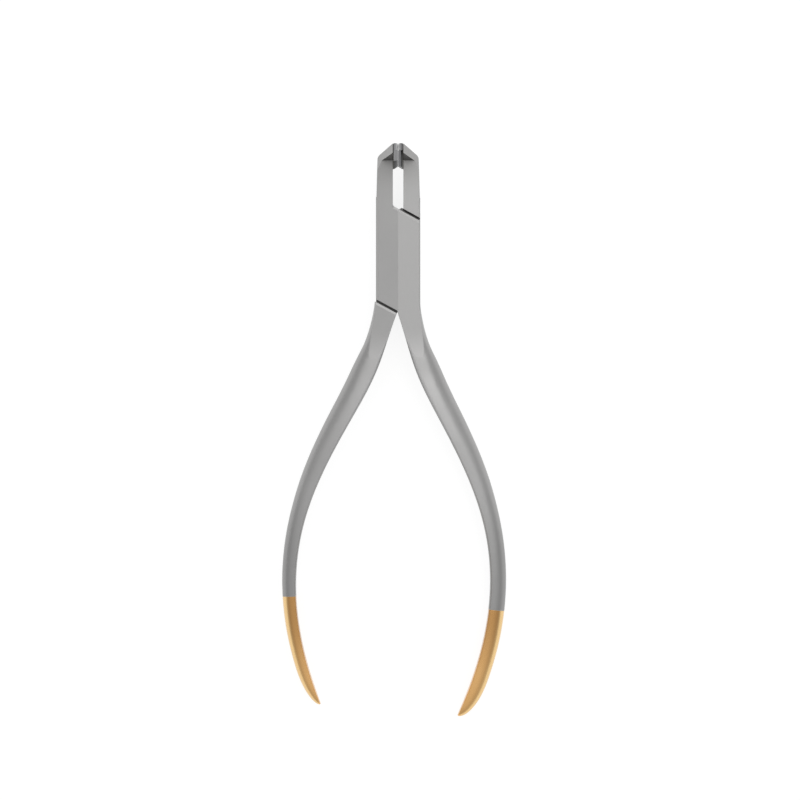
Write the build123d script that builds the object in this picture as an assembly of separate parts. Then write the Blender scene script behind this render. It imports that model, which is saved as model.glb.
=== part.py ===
from build123d import *
import math
import os

# Pliers lying on their flat back, in millimetres. The joint's axis is Z through the origin,
# the jaws point along +Y, and the front, where the head stands proud, faces +Z.

# Lap joint: the block in the middle where the two halves cross
JOINT_WIDTH = 10.0
JOINT_DEPTH = 8.0
RIDGE_RISE = 0.3
LEFT_BEVEL = 0.6
RIGHT_BEVEL = 0.25
LAP_CLEARANCE = 0.05
PLATE_REACH = 10.15
PLATE_SLOPE = 28.5
SHOULDER_GAP = 0.55
EASED_LENGTH = 0.5
EASED_DROP = 0.2

# Jaws: two bars with a slot between them
SLOT_WIDTH = 2.4
SLOT_FILLET = 0.8
SLOT_FLOOR_STEP = 0.25
JAW_WIDTH = 9.3
JAW_HEIGHT = 26.1
JAW_TAPER_LENGTH = 12.6
JAW_TAPER_RISE = 2.8

# Head: the house-shaped end of both jaws, which stands forward of the bars
HEAD_PROUD = 4.5
HEAD_LENGTH = 3.7
HEAD_LIP_LENGTH = 2.25
ROOF_SLOPE = 36.5
ROOF_CORNER_RADIUS = 1.2
FACET_FOOT_WIDTH = 7.5
FACET_LENGTH = 5.8

# Cutting inserts: one hard-metal blade brazed into each jaw
INSERT_GAP = 0.04
BRAZE_THICKNESS = 0.2
INSERT_DEPTH = 7.0
INSERT_LENGTH = 5.5
INSERT_EDGE_RISE = 0.6
LEFT_FRONT_LENGTH = 4.05
RIGHT_FRONT_LENGTH = 5.3
HOLD_LENGTH = 1.9
HOLD_SLOPE = 0.35
HOLD_GAP = 0.6
HOLD_DEPTH = 2.6
RELIEF_START = 1.7
RELIEF_WIDTH = 0.4
RELIEF_DEPTH = 2.0
INSERT_NOSE_LENGTH = 1.6
INSERT_NOSE_DROP = 1.5

# Joint screw: its head turns in the back half, its thread is fast in the front half
SCREW_HEAD_DIAMETER = 6.0
SCREW_HEAD_THICKNESS = 1.3
SCREW_HEAD_RECESS = 0.15
SCREW_SHANK_DIAMETER = 4.0
SCREW_THREAD_DIAMETER = 3.0
SCREW_THREAD_LENGTH = 2.8
SCREW_SLOT_WIDTH = 0.8
SCREW_SLOT_DEPTH = 0.5
RUNNING_CLEARANCE = 0.03
HEAD_CLEARANCE = 0.05

# Handles: a D section with its flat side facing the other handle
HANDLE_REACH = 103.1
HANDLE_SPREAD = 22.1
HANDLE_TIP_SPREAD = 15.1
HANDLE_ROOT = 0.75
HANDLE_LEAN = 0.9
BACK_HANDLE_SHORTER = 2.3
BACK_HANDLE_SLIMMING = 0.28
HANDLE_TIP_ROUNDING = 9.0
GILDED_LENGTH = 25.4
GILDING_THICKNESS = 0.12
STATION_SPACING = 3.0
RIM_STEPS = 7
TIP_ANGLES = (25, 45, 60, 72, 82)

# Inner edge of the right handle in plan, from inside the joint down to its tip,
# as shares of the spread and of the way down from its start
HANDLE_INNER_EDGE = [
    (-0.035, 0),
    (0.063, 0.067),
    (0.201, 0.166),
    (0.475, 0.294),
    (0.751, 0.422),
    (0.937, 0.550),
    (1, 0.689),
    (0.932, 0.823),
    (HANDLE_TIP_SPREAD / HANDLE_SPREAD, 1),
]
# The section along the handle, as share of the handle's length and share of the joint's width or depth
HANDLE_WIDTHS = [
    (0, 0.58),
    (0.067, 0.475),
    (0.115, 0.48),
    (0.173, 0.54),
    (0.286, 0.52),
    (0.376, 0.485),
    (0.45, 0.445),
    (0.529, 0.395),
    (0.62, 0.365),
    (0.712, 0.355),
    (0.82, 0.355),
    (1, 0.33),
]
HANDLE_DEPTHS = [
    (0, 1.3),
    (0.06, 1.2),
    (0.112, 1.06),
    (0.203, 0.93),
    (0.508, 0.79),
    (0.732, 0.74),
    (1, 0.62),
]
HANDLE_EDGE_BREAKS = [(0, 0.002), (0.035, 0.01), (0.1, 0.03), (1, 0.03)]
HANDLE_SQUARENESS = [(0, 6.0), (0.06, 5.2), (0.112, 4.2), (0.224, 2.8), (0.458, 2.6), (1, 2.6)]

LEFT = -1
RIGHT = 1
FAR = 300.0
LAP_HEIGHT = JOINT_DEPTH / 2
HEAD_FRONT = JOINT_DEPTH + HEAD_PROUD
INSERT_BACK = HEAD_FRONT - INSERT_DEPTH
INSERT_FOOT = JAW_HEIGHT - INSERT_LENGTH
HOLD_START = JAW_HEIGHT - HOLD_LENGTH
HEAD_FOOT = JAW_HEIGHT - HEAD_LENGTH
HEAD_LIP = JAW_HEIGHT - HEAD_LIP_LENGTH
FACET_FADE = JAW_HEIGHT - FACET_LENGTH
JAW_TAPER_START = JAW_HEIGHT - JAW_TAPER_LENGTH
HANDLE_START = PLATE_REACH - HANDLE_ROOT


def along(sizes, distance):
    """Reads a list of (distance, size) pairs at a distance, on a smooth curve through the pairs."""
    last = len(sizes) - 1

    def slope(index):
        before = sizes[max(index - 1, 0)]
        after = sizes[min(index + 1, last)]
        return (after[1] - before[1]) / (after[0] - before[0])

    if distance >= sizes[last][0]:
        return sizes[last][1] + slope(last) * (distance - sizes[last][0])
    index = max(i for i in range(last) if sizes[i][0] <= distance)
    (start, low), (end, high) = sizes[index], sizes[index + 1]
    run = end - start
    share = (distance - start) / run
    rise = share * share * (3 - 2 * share)
    lead_in = share * (1 - share) * (1 - share) * run * slope(index)
    lead_out = share * share * (1 - share) * run * slope(index + 1)
    return low + (high - low) * rise + lead_in - lead_out


def beyond(turn, distance):
    """Everything past a sloping line in plan. With turn 0 that is everything above y = distance."""
    half_space = Box(FAR, FAR, FAR, align=(Align.CENTER, Align.MIN, Align.CENTER))
    return Rot(0, 0, turn) * Pos(0, distance, 0) * half_space


def above(height):
    """Everything above a height."""
    return Pos(0, 0, height) * Box(FAR, FAR, FAR, align=(Align.CENTER, Align.CENTER, Align.MIN))


def below(height):
    """Everything below a height."""
    return Pos(0, 0, height) * Box(FAR, FAR, FAR, align=(Align.CENTER, Align.CENTER, Align.MAX))


def past_plane(kept, first, second, third):
    """Everything on the other side of the plane through three points from a point that is kept."""
    origin = Vector(*first)
    normal = (Vector(*second) - origin).cross(Vector(*third) - origin)
    if normal.dot(Vector(*kept) - origin) > 0:
        normal = -normal
    return Plane(origin=origin, z_dir=normal) * above(0)


def prism(outline, low, high):
    """A prism along Z from an outline of (x, y) points."""
    section = make_face(Polyline(*outline, close=True))
    return Pos(0, 0, low) * extrude(section, high - low)


def prism_along_y(outline):
    """A long prism along Y from an outline of (x, z) points."""
    section = make_face(Polyline(*[(x, -FAR / 2, z) for x, z in outline], close=True))
    return extrude(section, FAR, dir=(0, 1, 0))


def front_height(side, x):
    """The height of one of the two front flats, which fall away from the middle ridge."""
    return JOINT_DEPTH + RIDGE_RISE - RIDGE_RISE * side * x / (JOINT_WIDTH / 2)


def ground_faces():
    """The stock between the flat back and the two front flats."""
    span = 2 * HANDLE_SPREAD
    low = front_height(RIGHT, span)
    return prism_along_y([(-span, 0), (span, 0), (span, low), (0, front_height(RIGHT, 0)), (-span, low)])


def joint_stock():
    """The joint's section along Y: ground faces front and back, straight sides and bevelled corners."""
    side = JOINT_WIDTH / 2
    ridge = front_height(RIGHT, 0)
    outline = [
        (LEFT_BEVEL - side, 0),
        (side - RIGHT_BEVEL, 0),
        (side, RIGHT_BEVEL),
        (side, JOINT_DEPTH - RIGHT_BEVEL),
        (side - RIGHT_BEVEL - RIDGE_RISE, ridge),
        (LEFT_BEVEL + RIDGE_RISE - side, ridge),
        (-side, JOINT_DEPTH - LEFT_BEVEL),
        (-side, LEFT_BEVEL),
    ]
    return prism_along_y(outline) & ground_faces()


def ease_edge(solid, turn, distance, inwards, in_front):
    """Eases the front or the back edge of an end face that lies on a sloping line in plan. Inwards is
    1 where the metal lies beyond the line, and -1 where it lies on the joint's side of it."""
    line = Vector(1, 0, 0).rotate(Axis.Z, turn)
    facing = Vector(0, 1, 0).rotate(Axis.Z, turn)

    def corner(run, depth, lift, face_height):
        point = line * run + facing * (distance + inwards * depth)
        return (point.X, point.Y, face_height(point.X) + lift)

    def bevel(lift, face_height):
        kept = corner(0, JOINT_WIDTH, lift, face_height)
        foot = corner(0, 0, lift, face_height)
        other_foot = corner(JOINT_WIDTH, 0, lift, face_height)
        return past_plane(kept, foot, other_foot, corner(0, EASED_LENGTH, 0, face_height))

    if not in_front:
        return solid - bevel(EASED_DROP, lambda x: 0)
    for side in (LEFT, RIGHT):
        solid = solid - bevel(-EASED_DROP, lambda x: front_height(side, x))
    return solid


def make_jaw(side):
    """One jaw: its bar in the joint's own section and its half of the head, flat on the slot side."""
    inner = SLOT_WIDTH / 2
    outer = JAW_WIDTH / 2
    roof_corner = JAW_HEIGHT - (outer - inner) * math.tan(math.radians(ROOF_SLOPE))
    outline = [
        (inner, 0),
        (JOINT_WIDTH / 2, 0),
        (JOINT_WIDTH / 2, PLATE_REACH),
        (outer, roof_corner),
        (inner, JAW_HEIGHT),
    ]
    blank = prism([(side * x, y) for x, y in outline], 0, HEAD_FRONT)
    corner = blank.edges().filter_by(Axis.Z).sort_by_distance((side * outer, roof_corner, LAP_HEIGHT))[0]
    blank = fillet(corner, ROOF_CORNER_RADIUS)
    roof_end = (side * inner, JAW_HEIGHT, JOINT_DEPTH)
    underside = past_plane(
        roof_end, (0, HEAD_FOOT, JOINT_DEPTH), (0, HEAD_LIP, HEAD_FRONT), (1, HEAD_FOOT, JOINT_DEPTH)
    )
    head = blank & above(LAP_HEIGHT)
    jaw = (blank & joint_stock()) + (head - underside)
    foot = (side * FACET_FOOT_WIDTH / 2, HEAD_FOOT, JOINT_DEPTH)
    fade = (side * outer, FACET_FADE, JOINT_DEPTH)
    lip = (side * inner, HEAD_LIP, HEAD_FRONT)
    facet = past_plane(roof_end, foot, fade, lip)
    taper = past_plane(
        roof_end, (0, JAW_TAPER_START, 0), (0, JAW_HEIGHT, JAW_TAPER_RISE), (1, JAW_TAPER_START, 0)
    )
    return jaw - facet - taper


def handle_section(place, share, rounding, slimming, inset):
    """The D section at one place along the handle: a flat with two broken edges and a full rim."""
    slim = 1 - slimming * share * share
    width = along(HANDLE_WIDTHS, share) * JOINT_WIDTH * slim * rounding - 2 * inset
    half_depth = along(HANDLE_DEPTHS, share) * LAP_HEIGHT * math.sqrt(rounding) - inset
    edge_break = along(HANDLE_EDGE_BREAKS, share) * JOINT_WIDTH * rounding
    power = 2 / along(HANDLE_SQUARENESS, share)
    last_angle = math.acos((edge_break / width) ** (1 / power))
    rim_points = []
    for step in range(-RIM_STEPS, RIM_STEPS + 1):
        angle = last_angle * step / RIM_STEPS
        height = math.copysign(half_depth * abs(math.sin(angle)) ** power, angle)
        rim_points.append((inset + width * math.cos(angle) ** power, height))
    low = (inset, edge_break - half_depth)
    high = (inset, half_depth - edge_break)
    rim = Spline(*rim_points)
    edges = [rim, Line(rim_points[-1], high), Line(high, low), Line(low, rim_points[0])]
    return place * make_face(edges)


def make_handle(side, shorter, slimming):
    """One handle as its steel and the gilding on its end, which is let in flush with the steel."""
    fall = HANDLE_REACH - HANDLE_START
    edge = [(side * out * HANDLE_SPREAD, -HANDLE_START - down * fall) for out, down in HANDLE_INNER_EDGE]
    path = Rot(0, 0, -HANDLE_LEAN) * Spline(*edge)
    length = path.length - shorter
    straight = length - HANDLE_TIP_ROUNDING

    def place(distance):
        share = distance / path.length
        point = path.position_at(share)
        tangent = path.tangent_at(share)
        middle = LAP_HEIGHT * min(1, along(HANDLE_DEPTHS, share))
        outward = (-side * tangent.Y, side * tangent.X, 0)
        return Plane(origin=(point.X, point.Y, middle), x_dir=outward, z_dir=tangent)

    def body(inset):
        count = round(straight / STATION_SPACING)
        stations = [(step * STATION_SPACING, 1) for step in range(count)] + [(straight, 1)]
        for angle in TIP_ANGLES:
            turn = math.radians(angle)
            stations.append((straight + (HANDLE_TIP_ROUNDING - inset) * math.sin(turn), math.cos(turn)))
        shares = [(place(at), at / path.length, rounding) for at, rounding in stations]
        return loft([handle_section(*where, slimming, inset) for where in shares])

    past_line = place(length - GILDED_LENGTH) * above(0)
    full = body(0)
    core = body(GILDING_THICKNESS)
    steel = ((full - past_line) & ground_faces()) + (core & past_line)
    gilding = (full & past_line) - core
    return steel, gilding


def make_half(side, handle):
    """One forging: a jaw on its side, a lap plate and a handle on the other side."""
    turn = side * PLATE_SLOPE
    lap_face = LAP_HEIGHT - side * LAP_CLEARANCE / 2
    in_front = side == LEFT
    own_layer = above(lap_face) if in_front else below(lap_face)
    other_layer = below(lap_face) if in_front else above(lap_face)
    plate = joint_stock() & own_layer
    plate = plate - beyond(turn, PLATE_REACH) - beyond(turn + 180, PLATE_REACH)
    plate = ease_edge(plate, turn, PLATE_REACH, -1, in_front)
    shoulder = PLATE_REACH + SHOULDER_GAP
    other_plate = other_layer - beyond(-turn, shoulder) - beyond(180 - turn, shoulder)
    past_shoulder = beyond(180 - turn, shoulder)
    root = (handle - past_shoulder - other_plate) & joint_stock()
    handle = ease_edge(handle & past_shoulder, 180 - turn, shoulder, 1, not in_front) + root
    half = plate + (make_jaw(side) - other_plate) + handle
    slot_side = SLOT_WIDTH / 2
    slope = math.radians(PLATE_SLOPE)
    slot_corner = (PLATE_REACH + slot_side * math.sin(slope)) / math.cos(slope)
    near = (side * slot_side, slot_corner, (lap_face + (JOINT_DEPTH if in_front else 0)) / 2)
    slot_root = half.edges().filter_by(Axis.Z).sort_by_distance(near)[0]
    return fillet(slot_root, SLOT_FILLET)


def make_insert(side, front_length):
    """One cutting blade: its edge on the handle side of the gap, its hold faces set back above it."""
    edge = INSERT_GAP / 2
    hold = HOLD_GAP / 2
    seat = SLOT_WIDTH / 2 - BRAZE_THICKNESS
    outline = [
        (seat, INSERT_FOOT),
        (edge, INSERT_FOOT + INSERT_EDGE_RISE),
        (edge, JAW_HEIGHT),
        (seat, JAW_HEIGHT),
    ]
    blade = prism([(side * x, y) for x, y in outline], INSERT_BACK, HEAD_FRONT)
    groove_outline = [
        (edge, HOLD_START),
        (hold, HOLD_START + HOLD_SLOPE),
        (hold, JAW_HEIGHT),
        (edge, JAW_HEIGHT),
    ]
    groove = prism([(side * x, y) for x, y in groove_outline], INSERT_BACK, HEAD_FRONT)
    hold_end = HEAD_FRONT - HOLD_DEPTH
    groove_floor = past_plane(
        (0, HOLD_START, INSERT_BACK),
        (0, HOLD_START, HEAD_FRONT),
        (0, JAW_HEIGHT, hold_end),
        (1, HOLD_START, HEAD_FRONT),
    )
    blade = blade - (groove & groove_floor)
    kept = (side * seat, JAW_HEIGHT, INSERT_BACK)
    front_foot = JAW_HEIGHT - front_length
    toe = past_plane(
        kept, (0, INSERT_FOOT, INSERT_BACK), (0, front_foot, HEAD_FRONT), (1, INSERT_FOOT, INSERT_BACK)
    )
    nose_end = HEAD_FRONT - INSERT_NOSE_DROP
    nose_start = JAW_HEIGHT - INSERT_NOSE_LENGTH
    nose = past_plane(
        kept, (0, nose_start, HEAD_FRONT), (0, JAW_HEIGHT, nose_end), (1, nose_start, HEAD_FRONT)
    )
    return blade - toe - nose


def make_relief():
    """The slit ground into the front of the right insert beside its braze."""
    seat = SLOT_WIDTH / 2 - BRAZE_THICKNESS
    end = JAW_HEIGHT - RELIEF_START
    outline = [(seat - RELIEF_WIDTH, 0), (seat, 0), (seat, end), (seat - RELIEF_WIDTH, end)]
    return prism(outline, HEAD_FRONT - RELIEF_DEPTH, HEAD_FRONT)


def make_braze(side, jaw, insert):
    """The braze between an insert and its jaw, only where the two face each other."""
    step = side * BRAZE_THICKNESS
    film = prism(
        [
            (side * SLOT_WIDTH / 2 - step, INSERT_FOOT),
            (side * SLOT_WIDTH / 2, INSERT_FOOT),
            (side * SLOT_WIDTH / 2, JAW_HEIGHT),
            (side * SLOT_WIDTH / 2 - step, JAW_HEIGHT),
        ],
        INSERT_BACK,
        HEAD_FRONT,
    )
    return film & (Pos(-step, 0, 0) * jaw) & (Pos(step, 0, 0) * insert)


def make_screw():
    """A slotted shoulder screw: head in the back, shank in the back plate, thread in the front plate."""
    head_top = SCREW_HEAD_RECESS + SCREW_HEAD_THICKNESS
    front_lap = LAP_HEIGHT + LAP_CLEARANCE / 2
    screw = upright(SCREW_HEAD_DIAMETER, SCREW_HEAD_RECESS, head_top)
    screw = screw + upright(SCREW_SHANK_DIAMETER, head_top, front_lap)
    screw = screw + upright(SCREW_THREAD_DIAMETER, front_lap, front_lap + SCREW_THREAD_LENGTH)
    slot = Box(FAR, SCREW_SLOT_WIDTH, 2 * SCREW_SLOT_DEPTH)
    return screw - Pos(0, 0, SCREW_HEAD_RECESS) * slot


def upright(diameter, low, high):
    """A round bar on the joint's axis between two heights."""
    bar = Cylinder(diameter / 2, high - low, align=(Align.CENTER, Align.CENTER, Align.MIN))
    return Pos(0, 0, low) * bar


right_steel, right_gilding = make_handle(RIGHT, 0, 0)
left_steel, left_gilding = make_handle(LEFT, BACK_HANDLE_SHORTER, BACK_HANDLE_SLIMMING)
front_lap = LAP_HEIGHT + LAP_CLEARANCE / 2
front_half = make_half(LEFT, right_steel)
front_half = front_half - upright(SCREW_THREAD_DIAMETER, front_lap, front_lap + SCREW_THREAD_LENGTH)
back_half = make_half(RIGHT, left_steel)
slot_end = PLATE_REACH + SHOULDER_GAP + SLOT_FLOOR_STEP
back_half = back_half - (Box(SLOT_WIDTH, FAR, FAR) & beyond(-PLATE_SLOPE, slot_end))
seat_height = SCREW_HEAD_RECESS + SCREW_HEAD_THICKNESS + HEAD_CLEARANCE
back_half = back_half - upright(SCREW_HEAD_DIAMETER + 2 * HEAD_CLEARANCE, 0, seat_height)
back_half = back_half - upright(SCREW_SHANK_DIAMETER + 2 * RUNNING_CLEARANCE, 0, JOINT_DEPTH)
left_insert = make_insert(LEFT, LEFT_FRONT_LENGTH)
right_insert = make_insert(RIGHT, RIGHT_FRONT_LENGTH)
left_braze = make_braze(LEFT, front_half, left_insert)
right_braze = make_braze(RIGHT, back_half, right_insert)
right_insert = right_insert - make_relief()

pieces = {
    "front_half": front_half,
    "back_half": back_half,
    "joint_screw": make_screw(),
    "left_cutting_insert": left_insert,
    "right_cutting_insert": right_insert,
    "left_braze_seam": left_braze,
    "right_braze_seam": right_braze,
    "left_gilded_end": left_gilding,
    "right_gilded_end": right_gilding,
}
os.makedirs("parts", exist_ok=True)
for name, piece in pieces.items():
    export_step(piece, f"parts/{name}.step")
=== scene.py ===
import math

import bpy
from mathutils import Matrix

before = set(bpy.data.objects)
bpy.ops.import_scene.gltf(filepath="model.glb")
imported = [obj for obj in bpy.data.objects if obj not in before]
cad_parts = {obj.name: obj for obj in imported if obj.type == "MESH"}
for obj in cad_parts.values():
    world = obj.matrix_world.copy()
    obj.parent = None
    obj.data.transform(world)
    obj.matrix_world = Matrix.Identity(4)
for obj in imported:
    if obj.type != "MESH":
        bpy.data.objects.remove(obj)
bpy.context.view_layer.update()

# The back half: one drop forging of stainless steel with the right jaw, the back plate of the lap
# joint and the left handle. It is ground on the joint and jaw and blasted to a satin grey. Its colour
# holds painted light: a painted highlight on the handle's crown below the joint, painted shade further
# down the handle and painted shade under the head.
STEEL_GREY = (0.425, 0.422, 0.418, 1)
STEEL_SHADE = (0.375, 0.372, 0.370, 1)
STEEL_SHADE_UNDER_HEAD = (0.345, 0.342, 0.338, 1)
STEEL_PAINTED_HIGHLIGHT = (0.52, 0.516, 0.512, 1)
STEEL_LOWER_PAINTED_SHADE = (0.33, 0.328, 0.325, 1)
STEEL_WEAR_AND_HIGHLIGHT = (0.60, 0.60, 0.60, 1)
STEEL_PAINTED_SHADE = (0.10, 0.097, 0.095, 1)
STEEL_ROUGHNESS = (0.37, 0.47)
EDGE_POLISH = 0.2
# The grain of the blasting, and the lines of the grinding belt
BLAST_GRAIN = 0.00016
BLAST_HEIGHT = 0.000004
BLAST_STRENGTH = 0.35
GRAIN_DETAIL = 3.0
MOTTLE_SIZE = 0.006
MOTTLE_DETAIL = 4.0
GRINDING_LINE = 0.00012
GRINDING_LENGTH = 0.010
LINE_DETAIL = 2.0
# Places along the tool from the joint's axis: the painted shade under the head, the ground lines and
# the painted shade down the handle each start at the first and are whole at the second
HEAD_SHADE_FROM = 0.0135
HEAD_SHADE_TO = 0.0225
GROUND_FROM = -0.028
GROUND_TO = -0.016
LOWER_SHADE_FROM = -0.050
LOWER_SHADE_TO = -0.070
# The painted highlight on the handle is whole at one place, fades above and below it, and keeps to the
# handle's crown
HIGHLIGHT_TOP = -0.015
HIGHLIGHT_MOST = -0.024
HIGHLIGHT_END = -0.048
FLANK_FACING = 0.94
CROWN_FACING = 0.998
# Edges lightened partly as wear and partly as painted highlight, and painted shade in the corners
WEAR_AND_HIGHLIGHT_RADIUS = 0.00010
HANDLE_HIGHLIGHT_RADIUS = 0.0012
EDGE_SAMPLES = 6
EDGE_GAIN = 8.0
EDGE_IN_CORNER = -1.5
WEAR_AND_HIGHLIGHT_SHARE = 0.5
PAINTED_SHADE_REACH = 0.005
PAINTED_SHADE_SHARE = 1.8
# The mix node's sockets for two colours and for what they make
MIX_LOWER = 6
MIX_UPPER = 7
MIX_RESULT = 2


def add_node(tree, kind, inputs=None, **settings):
    """Adds a node with its settings. Each input is a value, or the output socket it is linked from."""
    made = tree.nodes.new(kind)
    for name, value in settings.items():
        setattr(made, name, value)
    for name, value in (inputs or {}).items():
        if isinstance(value, bpy.types.NodeSocket):
            tree.links.new(value, made.inputs[name])
        else:
            made.inputs[name].default_value = value
    return made


def calculate(tree, operation, first, second=0.0):
    """The result of one sum on values or sockets."""
    return add_node(tree, "ShaderNodeMath", {0: first, 1: second}, operation=operation).outputs[0]


def opposite(tree, mask):
    """A mask turned about, so that it is 1 where it was 0."""
    return calculate(tree, "SUBTRACT", 1.0, mask)


def separate(tree, vector, axis):
    """A vector's part along one axis."""
    return add_node(tree, "ShaderNodeSeparateXYZ", {0: vector}).outputs[axis]


def spread(tree, mask, low, high):
    """A mask from 0 to 1 read out as a value between two ends."""
    inputs = {"Value": mask, "To Min": low, "To Max": high}
    return add_node(tree, "ShaderNodeMapRange", inputs).outputs[0]


def ease(tree, value, start, end, low=0.0, high=1.0):
    """A value that goes smoothly from low to high while another goes from start to end."""
    inputs = {"Value": value, "From Min": start, "From Max": end, "To Min": low, "To Max": high}
    return add_node(tree, "ShaderNodeMapRange", inputs, interpolation_type="SMOOTHSTEP").outputs[0]


def lay_over(tree, tone, colour, mask):
    """A tone with a colour laid over it where a mask is 1."""
    inputs = {"Factor": mask, MIX_LOWER: tone, MIX_UPPER: colour}
    return add_node(tree, "ShaderNodeMix", inputs, data_type="RGBA").outputs[MIX_RESULT]


def new_group(name, inputs, values, normals=()):
    """An empty shader group with sockets of these names, as the group, its inputs and its outputs."""
    group = bpy.data.node_groups.new(name, "ShaderNodeTree")
    for socket in inputs:
        group.interface.new_socket(socket, in_out="INPUT", socket_type="NodeSocketFloat")
    for socket in values:
        group.interface.new_socket(socket, in_out="OUTPUT", socket_type="NodeSocketFloat")
    for socket in normals:
        group.interface.new_socket(socket, in_out="OUTPUT", socket_type="NodeSocketVector")
    return group, group.nodes.new("NodeGroupInput").outputs, group.nodes.new("NodeGroupOutput").inputs


def use_group(tree, group, inputs):
    """Places a shader group in a material and returns its outputs."""
    return add_node(tree, "ShaderNodeGroup", inputs, node_tree=group).outputs


def make_edge_wear_and_shade():
    """Finds the outer edges, lightened partly as wear and partly as painted highlight, and the corners
    that take painted shade.
    """
    group, given, result = new_group("edge_wear_and_shade", ["Radius", "Reach"], ["Worn", "Corner shade"], ["Rounded"])
    radius = {"Radius": given["Radius"]}
    rounded = add_node(group, "ShaderNodeBevel", radius, samples=EDGE_SAMPLES).outputs[0]
    normal = add_node(group, "ShaderNodeNewGeometry").outputs["Normal"]
    facing = add_node(group, "ShaderNodeVectorMath", {0: rounded, 1: normal}, operation="DOT_PRODUCT")
    turned = opposite(group, facing.outputs["Value"])
    reach = {"Distance": given["Reach"]}
    hidden = add_node(group, "ShaderNodeAmbientOcclusion", reach, samples=EDGE_SAMPLES, only_local=True)
    corner = opposite(group, hidden.outputs["AO"])
    open_side = spread(group, corner, 1.0, EDGE_IN_CORNER)
    edge = calculate(group, "MULTIPLY", calculate(group, "MULTIPLY", turned, EDGE_GAIN), open_side)
    edge = add_node(group, "ShaderNodeClamp", {"Value": edge}).outputs[0]
    group.links.new(calculate(group, "MULTIPLY", edge, WEAR_AND_HIGHLIGHT_SHARE), result["Worn"])
    group.links.new(calculate(group, "MULTIPLY", corner, PAINTED_SHADE_SHARE), result["Corner shade"])
    group.links.new(rounded, result["Rounded"])
    return group


def make_fine_blast():
    """The even grain of glass-bead blasting, with slow changes of tone across the piece."""
    group, given, result = new_group("fine_blast", ["Grain", "Mottle"], ["Height", "Tone"])
    place = add_node(group, "ShaderNodeTexCoord").outputs["Object"]
    for size, detail, output in (("Grain", GRAIN_DETAIL, "Height"), ("Mottle", MOTTLE_DETAIL, "Tone")):
        scale = calculate(group, "DIVIDE", 1.0, given[size])
        noise = add_node(group, "ShaderNodeTexNoise", {"Vector": place, "Scale": scale, "Detail": detail})
        group.links.new(noise.outputs["Fac"], result[output])
    return group


def make_drawn_lines():
    """Fine lines along the tool, as a grinding belt or a polishing wheel leaves them."""
    group, given, result = new_group("drawn_lines", ["Line", "Length"], ["Height"])
    place = add_node(group, "ShaderNodeTexCoord").outputs["Object"]
    across = calculate(group, "DIVIDE", 1.0, given["Line"])
    along = calculate(group, "DIVIDE", 1.0, given["Length"])
    scale = add_node(group, "ShaderNodeCombineXYZ", {"X": across, "Y": along, "Z": across}).outputs[0]
    stretched = add_node(group, "ShaderNodeVectorMath", {0: place, 1: scale}, operation="MULTIPLY")
    noise = {"Vector": stretched.outputs[0], "Scale": 1.0, "Detail": LINE_DETAIL}
    lines = add_node(group, "ShaderNodeTexNoise", noise).outputs["Fac"]
    group.links.new(lines, result["Height"])
    return group


def make_crown():
    """Finds the crown of a handle, front and back, from the steepest flank up to the flat."""
    group, given, result = new_group("crown", ["Flank", "Flat"], ["Crown"])
    normal = add_node(group, "ShaderNodeTexCoord").outputs["Normal"]
    facing = calculate(group, "ABSOLUTE", separate(group, normal, "Z"))
    group.links.new(ease(group, facing, given["Flank"], given["Flat"]), result["Crown"])
    return group


def make_along_tool():
    """A mask that rises from 0 to 1 between two places along the tool."""
    group, given, result = new_group("along_tool", ["Start", "End"], ["Mask"])
    place = add_node(group, "ShaderNodeTexCoord").outputs["Object"]
    along = separate(group, place, "Y")
    group.links.new(ease(group, along, given["Start"], given["End"]), result["Mask"])
    return group


edge_wear_and_shade = make_edge_wear_and_shade()
fine_blast = make_fine_blast()
drawn_lines = make_drawn_lines()
crown = make_crown()
along_tool = make_along_tool()


def lengthways(tree, start, end):
    """The mask along the tool, placed in a material between two places."""
    return use_group(tree, along_tool, {"Start": start, "End": end})["Mask"]


def new_metal(name):
    """A plain metal, as its material, its nodes and its shader."""
    material = bpy.data.materials.new(name)
    material.use_nodes = True
    shader = material.node_tree.nodes["Principled BSDF"]
    shader.inputs["Metallic"].default_value = 1.0
    return material, material.node_tree, shader


def set_surface(tree, shader, colour, roughness, bump):
    """Links a finish to the shader: its colour, its roughness and a bump with the inputs given."""
    tree.links.new(colour, shader.inputs["Base Color"])
    tree.links.new(roughness, shader.inputs["Roughness"])
    tree.links.new(add_node(tree, "ShaderNodeBump", bump).outputs[0], shader.inputs["Normal"])


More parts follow.
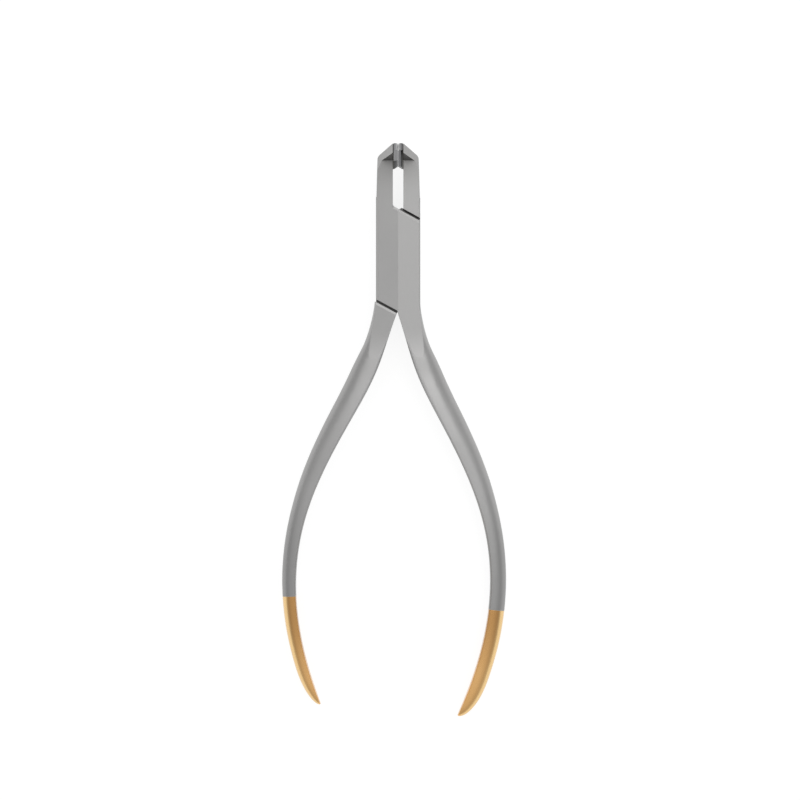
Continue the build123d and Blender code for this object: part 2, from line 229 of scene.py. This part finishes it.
def make_satin_steel():
    """Blasted stainless steel with ground lines, a painted highlight on the handle's crown, painted shade
    under the head and down the handle, edges lightened as wear and painted highlight, and painted shade in
    the corners.
    """
    material, tree, shader = new_metal("satin_steel")
    blast = use_group(tree, fine_blast, {"Grain": BLAST_GRAIN, "Mottle": MOTTLE_SIZE})
    lines = use_group(tree, drawn_lines, {"Line": GRINDING_LINE, "Length": GRINDING_LENGTH})
    handle = use_group(tree, crown, {"Flank": FLANK_FACING, "Flat": CROWN_FACING})
    below_joint = lengthways(tree, HIGHLIGHT_TOP, HIGHLIGHT_MOST)
    above_grip = lengthways(tree, HIGHLIGHT_END, HIGHLIGHT_MOST)
    highlight_zone = calculate(tree, "MULTIPLY", above_grip, below_joint)
    radius = spread(tree, highlight_zone, WEAR_AND_HIGHLIGHT_RADIUS, HANDLE_HIGHLIGHT_RADIUS)
    edges = use_group(tree, edge_wear_and_shade, {"Radius": radius, "Reach": PAINTED_SHADE_REACH})
    tone = lay_over(tree, STEEL_SHADE, STEEL_GREY, blast["Tone"])
    # Painted shade under the head, darker towards the head.
    tone = lay_over(tree, tone, STEEL_SHADE_UNDER_HEAD, lengthways(tree, HEAD_SHADE_FROM, HEAD_SHADE_TO))
    # Painted shade down the handle, darker further towards its end.
    tone = lay_over(tree, tone, STEEL_LOWER_PAINTED_SHADE, lengthways(tree, LOWER_SHADE_FROM, LOWER_SHADE_TO))
    # Painted highlight on the handle's crown below the joint.
    tone = lay_over(tree, tone, STEEL_PAINTED_HIGHLIGHT, calculate(tree, "MULTIPLY", handle["Crown"], highlight_zone))
    # Edges lightened partly as wear and partly as painted highlight, widest on the handle.
    tone = lay_over(tree, tone, STEEL_WEAR_AND_HIGHLIGHT, edges["Worn"])
    # Painted shade in the corners and under the head.
    tone = lay_over(tree, tone, STEEL_PAINTED_SHADE, edges["Corner shade"])
    rough = spread(tree, blast["Tone"], *STEEL_ROUGHNESS)
    rough = calculate(tree, "SUBTRACT", rough, calculate(tree, "MULTIPLY", edges["Worn"], EDGE_POLISH))
    ground = calculate(tree, "MULTIPLY", lines["Height"], lengthways(tree, GROUND_FROM, GROUND_TO))
    height = calculate(tree, "ADD", blast["Height"], ground)
    bump = {
        "Height": height,
        "Distance": BLAST_HEIGHT,
        "Strength": BLAST_STRENGTH,
        "Normal": edges["Rounded"],
    }
    set_surface(tree, shader, tone, rough, bump)
    return material


def finish_node(node, material):
    """Gives a piece of the tool its finish."""
    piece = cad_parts[node]
    piece.data.materials.clear()
    piece.data.materials.append(material)


satin_steel = make_satin_steel()
finish_node("back_half", satin_steel)

# The front half: the other forging of the same steel and finish, with the left jaw, the front plate
# of the lap joint and the right handle. Its plate lies over the back one and turns on the screw.
finish_node("front_half", satin_steel)

# The joint screw: a slotted shoulder screw, turned from bar, that goes in from the back and is fast
# in the front plate. Its head shows the rings of the turning tool.
SCREW_GREY = (0.50, 0.497, 0.493, 1)
SCREW_SHADE = (0.42, 0.417, 0.413, 1)
SCREW_ROUGHNESS = (0.24, 0.34)
RING_WIDTH = 0.00009
RING_HEIGHT = 0.000004
RING_STRENGTH = 0.4


def make_turned_steel():
    """Turned steel with rings about the joint's axis."""
    material, tree, shader = new_metal("turned_steel")
    place = add_node(tree, "ShaderNodeTexCoord").outputs["Object"]
    flat = {"X": separate(tree, place, "X"), "Y": separate(tree, place, "Y")}
    from_axis = add_node(tree, "ShaderNodeCombineXYZ", flat).outputs[0]
    radius = add_node(tree, "ShaderNodeVectorMath", {0: from_axis}, operation="LENGTH").outputs["Value"]
    ring_place = add_node(tree, "ShaderNodeCombineXYZ", {"X": radius}).outputs[0]
    noise = {"Vector": ring_place, "Scale": 1 / RING_WIDTH, "Detail": LINE_DETAIL}
    rings = add_node(tree, "ShaderNodeTexNoise", noise).outputs["Fac"]
    edges = use_group(tree, edge_wear_and_shade, {"Radius": WEAR_AND_HIGHLIGHT_RADIUS, "Reach": PAINTED_SHADE_REACH})
    tone = lay_over(tree, SCREW_SHADE, SCREW_GREY, rings)
    # Edges lightened partly as wear and partly as painted highlight, and painted shade in the corners.
    tone = lay_over(tree, tone, STEEL_WEAR_AND_HIGHLIGHT, edges["Worn"])
    tone = lay_over(tree, tone, STEEL_PAINTED_SHADE, edges["Corner shade"])
    rough = spread(tree, rings, *SCREW_ROUGHNESS)
    bump = {
        "Height": rings,
        "Distance": RING_HEIGHT,
        "Strength": RING_STRENGTH,
        "Normal": edges["Rounded"],
    }
    set_surface(tree, shader, tone, rough, bump)
    return material


finish_node("joint_screw", make_turned_steel())

# The cutting inserts: two blades of sintered hard metal, one brazed to each jaw. Their fronts are
# ground. Their colour holds painted light: a painted highlight by the groove that holds the cut wire,
# painted shade on their toes, and the right blade painted darker as shade.
# Painted shade: the right blade's greys are darker than the left blade's.
CARBIDE_GREY_LIT_LEFT_SHADED_RIGHT = {"left": (0.28, 0.28, 0.285, 1), "right": (0.20, 0.20, 0.205, 1)}
CARBIDE_SHADE_LIT_LEFT_SHADED_RIGHT = {"left": (0.20, 0.20, 0.205, 1), "right": (0.14, 0.14, 0.145, 1)}
CARBIDE_PAINTED_HIGHLIGHT = (0.88, 0.88, 0.88, 1)
CARBIDE_TOE_PAINTED_SHADE = (0.03, 0.03, 0.031, 1)
CARBIDE_WEAR_AND_HIGHLIGHT = (0.42, 0.42, 0.42, 1)
CARBIDE_PAINTED_SHADE = (0.04, 0.04, 0.04, 1)
CARBIDE_GLANCING = (0.75, 0.75, 0.75, 1)
CARBIDE_ROUGHNESS = (0.26, 0.38)
CARBIDE_STRENGTH = 0.3
CARBIDE_EDGE_RADIUS = 0.00003
CARBIDE_GRAIN = 0.00005
CARBIDE_LINE = 0.00006
CARBIDE_LINE_LENGTH = 0.004
GROOVE_REACH = 0.0006
TURNED_AWAY = 0.5


def make_blade_highlight_and_shade():
    """Finds where an insert takes a painted highlight, on faces near its groove that turn towards the
    light, and painted shade, on its toe that turns away, fading towards the groove.
    """
    group, given, result = new_group("blade_highlight_and_shade", ["Groove", "Turned"], ["Polished", "Toe shade"])
    place = add_node(group, "ShaderNodeTexCoord").outputs
    off_centre = calculate(group, "ABSOLUTE", separate(group, place["Object"], "X"))
    near_groove = spread(group, calculate(group, "DIVIDE", off_centre, given["Groove"]), 1.0, 0.0)
    facing = separate(group, place["Normal"], "Y")
    upper = calculate(group, "GREATER_THAN", facing, given["Turned"])
    turned_back = calculate(group, "MULTIPLY", given["Turned"], -1.0)
    toe = calculate(group, "LESS_THAN", facing, turned_back)
    group.links.new(calculate(group, "MULTIPLY", near_groove, upper), result["Polished"])
    shaded_toe = calculate(group, "MULTIPLY", toe, opposite(group, near_groove))
    group.links.new(shaded_toe, result["Toe shade"])
    return group


def make_ground_carbide(side):
    """Ground hard metal: fine lines, edges lightened as wear and painted highlight, a painted highlight by
    the groove, painted shade on the toe and in corners. The right blade is painted darker as shade.
    """
    material, tree, shader = new_metal(f"{side}_ground_carbide")
    shader.inputs["Specular Tint"].default_value = CARBIDE_GLANCING
    grain = use_group(tree, fine_blast, {"Grain": CARBIDE_GRAIN, "Mottle": MOTTLE_SIZE})
    lines = use_group(tree, drawn_lines, {"Line": CARBIDE_LINE, "Length": CARBIDE_LINE_LENGTH})
    edges = use_group(tree, edge_wear_and_shade, {"Radius": CARBIDE_EDGE_RADIUS, "Reach": PAINTED_SHADE_REACH})
    faces = use_group(tree, blade_highlight_and_shade, {"Groove": GROOVE_REACH, "Turned": TURNED_AWAY})
    tone = lay_over(tree, CARBIDE_SHADE_LIT_LEFT_SHADED_RIGHT[side], CARBIDE_GREY_LIT_LEFT_SHADED_RIGHT[side], lines["Height"])
    # Edges lightened partly as wear and partly as painted highlight.
    tone = lay_over(tree, tone, CARBIDE_WEAR_AND_HIGHLIGHT, edges["Worn"])
    # Painted highlight on the faces near the groove that turn towards the light.
    tone = lay_over(tree, tone, CARBIDE_PAINTED_HIGHLIGHT, faces["Polished"])
    # Painted shade on the toe, which turns away from the light.
    tone = lay_over(tree, tone, CARBIDE_TOE_PAINTED_SHADE, faces["Toe shade"])
    # Painted shade in the corners.
    tone = lay_over(tree, tone, CARBIDE_PAINTED_SHADE, edges["Corner shade"])
    rough = spread(tree, grain["Height"], *CARBIDE_ROUGHNESS)
    height = calculate(tree, "ADD", grain["Height"], lines["Height"])
    bump = {
        "Height": height,
        "Distance": BLAST_HEIGHT,
        "Strength": CARBIDE_STRENGTH,
        "Normal": edges["Rounded"],
    }
    set_surface(tree, shader, tone, rough, bump)
    return material


blade_highlight_and_shade = make_blade_highlight_and_shade()
for side in ("left", "right"):
    finish_node(f"{side}_cutting_insert", make_ground_carbide(side))

# The braze seams: a film of silver braze that fills the joint between each insert and its jaw. It is
# left as it flowed, dull and darkened by the flux.
BRAZE_GREY = (0.25, 0.24, 0.22, 1)
BRAZE_SHADE = (0.15, 0.145, 0.13, 1)
BRAZE_ROUGHNESS = (0.45, 0.65)
BRAZE_STRENGTH = 0.4
BRAZE_GRAIN = 0.0003
BRAZE_BLOT = 0.0012


def make_dull_braze():
    """Flowed braze, blotched by flux."""
    material, tree, shader = new_metal("dull_braze")
    blots = use_group(tree, fine_blast, {"Grain": BRAZE_GRAIN, "Mottle": BRAZE_BLOT})
    tone = lay_over(tree, BRAZE_SHADE, BRAZE_GREY, blots["Tone"])
    rough = spread(tree, blots["Tone"], *BRAZE_ROUGHNESS)
    bump = {"Height": blots["Height"], "Distance": BLAST_HEIGHT, "Strength": BRAZE_STRENGTH}
    set_surface(tree, shader, tone, rough, bump)
    return material


dull_braze = make_dull_braze()
for side in ("left", "right"):
    finish_node(f"{side}_braze_seam", dull_braze)

# The gilded ends: gold plated on the last part of each handle, the mark of a tool with hard-metal
# edges. The plating keeps the satin of the steel under it. Its top is painted darker as shade, and its
# outer flank is painted paler as a reflection.
GOLD = (0.80, 0.48, 0.20, 1)
GOLD_SHADE = (0.75, 0.43, 0.165, 1)
GOLD_TOP_PAINTED_SHADE = (0.53, 0.29, 0.107, 1)
GOLD_PAINTED_REFLECTION = (0.82, 0.57, 0.275, 1)
GOLD_WEAR_AND_HIGHLIGHT = (0.86, 0.64, 0.34, 1)
GOLD_PAINTED_SHADE = (0.28, 0.14, 0.04, 1)
GOLD_ROUGHNESS = (0.19, 0.33)
GOLD_STRENGTH = 0.3
POLISH_LINE = 0.00020
POLISH_LENGTH = 0.006
TOP_SHADE_FROM = -0.097
TOP_SHADE_TO = -0.080
REFLECTION_FACING = 0.72
REFLECTION_END_FACING = 0.95


def make_satin_gold():
    """Gold plating over satin steel: soft lengthways polish, painted shade at the top, a painted
    reflection on the outer flank, edges lightened as wear and painted highlight.
    """
    material, tree, shader = new_metal("satin_gold")
    blast = use_group(tree, fine_blast, {"Grain": BLAST_GRAIN, "Mottle": MOTTLE_SIZE})
    lines = use_group(tree, drawn_lines, {"Line": POLISH_LINE, "Length": POLISH_LENGTH})
    handle = use_group(tree, crown, {"Flank": REFLECTION_FACING, "Flat": REFLECTION_END_FACING})
    edges = use_group(tree, edge_wear_and_shade, {"Radius": WEAR_AND_HIGHLIGHT_RADIUS, "Reach": PAINTED_SHADE_REACH})
    place = add_node(tree, "ShaderNodeTexCoord").outputs
    both = {0: place["Normal"], 1: place["Object"]}
    leaning = add_node(tree, "ShaderNodeVectorMath", both, operation="MULTIPLY").outputs[0]
    outwards = calculate(tree, "GREATER_THAN", separate(tree, leaning, "X"), 0.0)
    reflected_flank = calculate(tree, "MULTIPLY", opposite(tree, handle["Crown"]), outwards)
    tone = lay_over(tree, GOLD_SHADE, GOLD, blast["Tone"])
    # Painted shade at the top of the gilding.
    tone = lay_over(tree, tone, GOLD_TOP_PAINTED_SHADE, lengthways(tree, TOP_SHADE_FROM, TOP_SHADE_TO))
    # Painted reflection on the outer flank, fading towards the crown.
    tone = lay_over(tree, tone, GOLD_PAINTED_REFLECTION, reflected_flank)
    # Edges lightened partly as wear and partly as painted highlight, and painted shade in the corners.
    tone = lay_over(tree, tone, GOLD_WEAR_AND_HIGHLIGHT, edges["Worn"])
    tone = lay_over(tree, tone, GOLD_PAINTED_SHADE, edges["Corner shade"])
    rough = spread(tree, lines["Height"], *GOLD_ROUGHNESS)
    height = calculate(tree, "ADD", blast["Height"], lines["Height"])
    bump = {
        "Height": height,
        "Distance": BLAST_HEIGHT,
        "Strength": GOLD_STRENGTH,
        "Normal": edges["Rounded"],
    }
    set_surface(tree, shader, tone, rough, bump)
    return material


satin_gold = make_satin_gold()
for side in ("left", "right"):
    finish_node(f"{side}_gilded_end", satin_gold)

# The floor: a wide sheet of white paper that the pliers lie on. It looks white to the camera and in
# the metal, and keeps a faint shadow of the tool.
FLOOR_SIZE = 3.0
FLOOR_DROP = 0.00001
PAPER = (0.9, 0.9, 0.9, 1)
PAPER_DIMMED = (0.216, 0.216, 0.216, 1)
PAPER_GLOW = 0.87


def make_white_paper():
    """White paper, lifted to white by a glow for what looks at it, and plain for the light it scatters."""
    material = bpy.data.materials.new("white_paper")
    material.use_nodes = True
    tree = material.node_tree
    tree.nodes.remove(tree.nodes["Principled BSDF"])
    paper = add_node(tree, "ShaderNodeBsdfDiffuse", {"Color": PAPER}).outputs[0]
    dimmed = add_node(tree, "ShaderNodeBsdfDiffuse", {"Color": PAPER_DIMMED}).outputs[0]
    glow = add_node(tree, "ShaderNodeEmission", {"Strength": PAPER_GLOW}).outputs[0]
    lifted = add_node(tree, "ShaderNodeAddShader", {0: dimmed, 1: glow}).outputs[0]
    ray = add_node(tree, "ShaderNodeLightPath").outputs
    seen = calculate(tree, "MAXIMUM", ray["Is Camera Ray"], ray["Is Glossy Ray"])
    seen = calculate(tree, "MAXIMUM", seen, ray["Is Transmission Ray"])
    mixed = add_node(tree, "ShaderNodeMixShader", {0: seen, 1: paper, 2: lifted}).outputs[0]
    tree.links.new(mixed, tree.nodes["Material Output"].inputs["Surface"])
    return material


half_floor = FLOOR_SIZE / 2
corner_signs = ((-1, -1), (1, -1), (1, 1), (-1, 1))
floor_corners = [(x * half_floor, y * half_floor, -FLOOR_DROP) for x, y in corner_signs]
floor_mesh = bpy.data.meshes.new("floor")
floor_mesh.from_pydata(floor_corners, [], [(0, 1, 2, 3)])
floor_mesh.materials.append(make_white_paper())
floor = bpy.data.objects.new("floor", floor_mesh)
bpy.context.scene.collection.objects.link(floor)

# The light: a soft panel overhead, a little to the right and past the joint, and a wide one on the far
# side. The room is a pale tent, bright overhead, white at the foot of its walls and greyer between.
OVERHEAD_SIZE = 0.40
OVERHEAD_PLACE = (0.26, 0.12, 0.95)
OVERHEAD_LEVEL = 1.0
WINDOW_WIDTH = 0.70
WINDOW_HEIGHT = 0.40
WINDOW_PLACE = (0.10, 0.50, 0.45)
WINDOW_LEVEL = 1.0
ROOM_COLOUR = (1, 1, 1, 1)
ROOM_OVERHEAD = 0.84
ROOM_WALL = 0.60
ROOM_FOOT = 1.0
# Heights on the tent, from 0 at the horizon to 1 overhead
WALL_TOP = 0.98
WALL_MIDDLE = 0.62
WALL_FOOT = 0.34
FOOT_TOP = 0.14


def add_panel(name, width, height, place, level):
    """A soft panel that faces the joint and is as bright as a white sheet at the level given."""
    light = bpy.data.lights.new(name, "AREA")
    light.shape = "RECTANGLE"
    light.size = width
    light.size_y = height
    light.energy = level * math.pi * width * height
    panel = bpy.data.objects.new(name, light)
    panel.location = place
    panel.rotation_euler = (-panel.location).to_track_quat("-Z", "Y").to_euler()
    bpy.context.scene.collection.objects.link(panel)


add_panel("overhead_panel", OVERHEAD_SIZE, OVERHEAD_SIZE, OVERHEAD_PLACE, OVERHEAD_LEVEL)
add_panel("far_window", WINDOW_WIDTH, WINDOW_HEIGHT, WINDOW_PLACE, WINDOW_LEVEL)

room = bpy.data.worlds.new("pale_tent")
bpy.context.scene.world = room
room.use_nodes = True
tent = room.node_tree
direction = add_node(tent, "ShaderNodeTexCoord").outputs["Generated"]
tent_height = separate(tent, direction, "Z")
roof_level = ease(tent, tent_height, WALL_MIDDLE, WALL_TOP, ROOM_WALL, ROOM_OVERHEAD)
foot_level = ease(tent, tent_height, FOOT_TOP, WALL_FOOT, ROOM_FOOT, ROOM_WALL)
tent_level = calculate(tent, "MAXIMUM", roof_level, foot_level)
camera_ray = add_node(tent, "ShaderNodeLightPath").outputs["Is Camera Ray"]
tent_level = calculate(tent, "MAXIMUM", tent_level, camera_ray)
tent.links.new(tent_level, tent.nodes["Background"].inputs["Strength"])
tent.nodes["Background"].inputs["Color"].default_value = ROOM_COLOUR

# The camera: straight above the pliers, as the photograph was taken, with a long lens that shows the
# field's width at half the height of the joint.
CAMERA_CENTRE = (0.00043, -0.0316)
CAMERA_HEIGHT = 0.704
FIELD_WIDTH = 0.1815
FIELD_HEIGHT = 0.004
SENSOR_WIDTH = 36.0
NEAREST_SEEN = 0.01

camera_data = bpy.data.cameras.new("camera")
camera_data.sensor_width = SENSOR_WIDTH
camera_data.lens = SENSOR_WIDTH * (CAMERA_HEIGHT - FIELD_HEIGHT) / FIELD_WIDTH
camera_data.clip_start = NEAREST_SEEN
camera = bpy.data.objects.new("camera", camera_data)
camera.location = (*CAMERA_CENTRE, CAMERA_HEIGHT)
bpy.context.scene.collection.objects.link(camera)
bpy.context.scene.camera = camera
bpy.context.scene.view_settings.view_transform = "Standard"
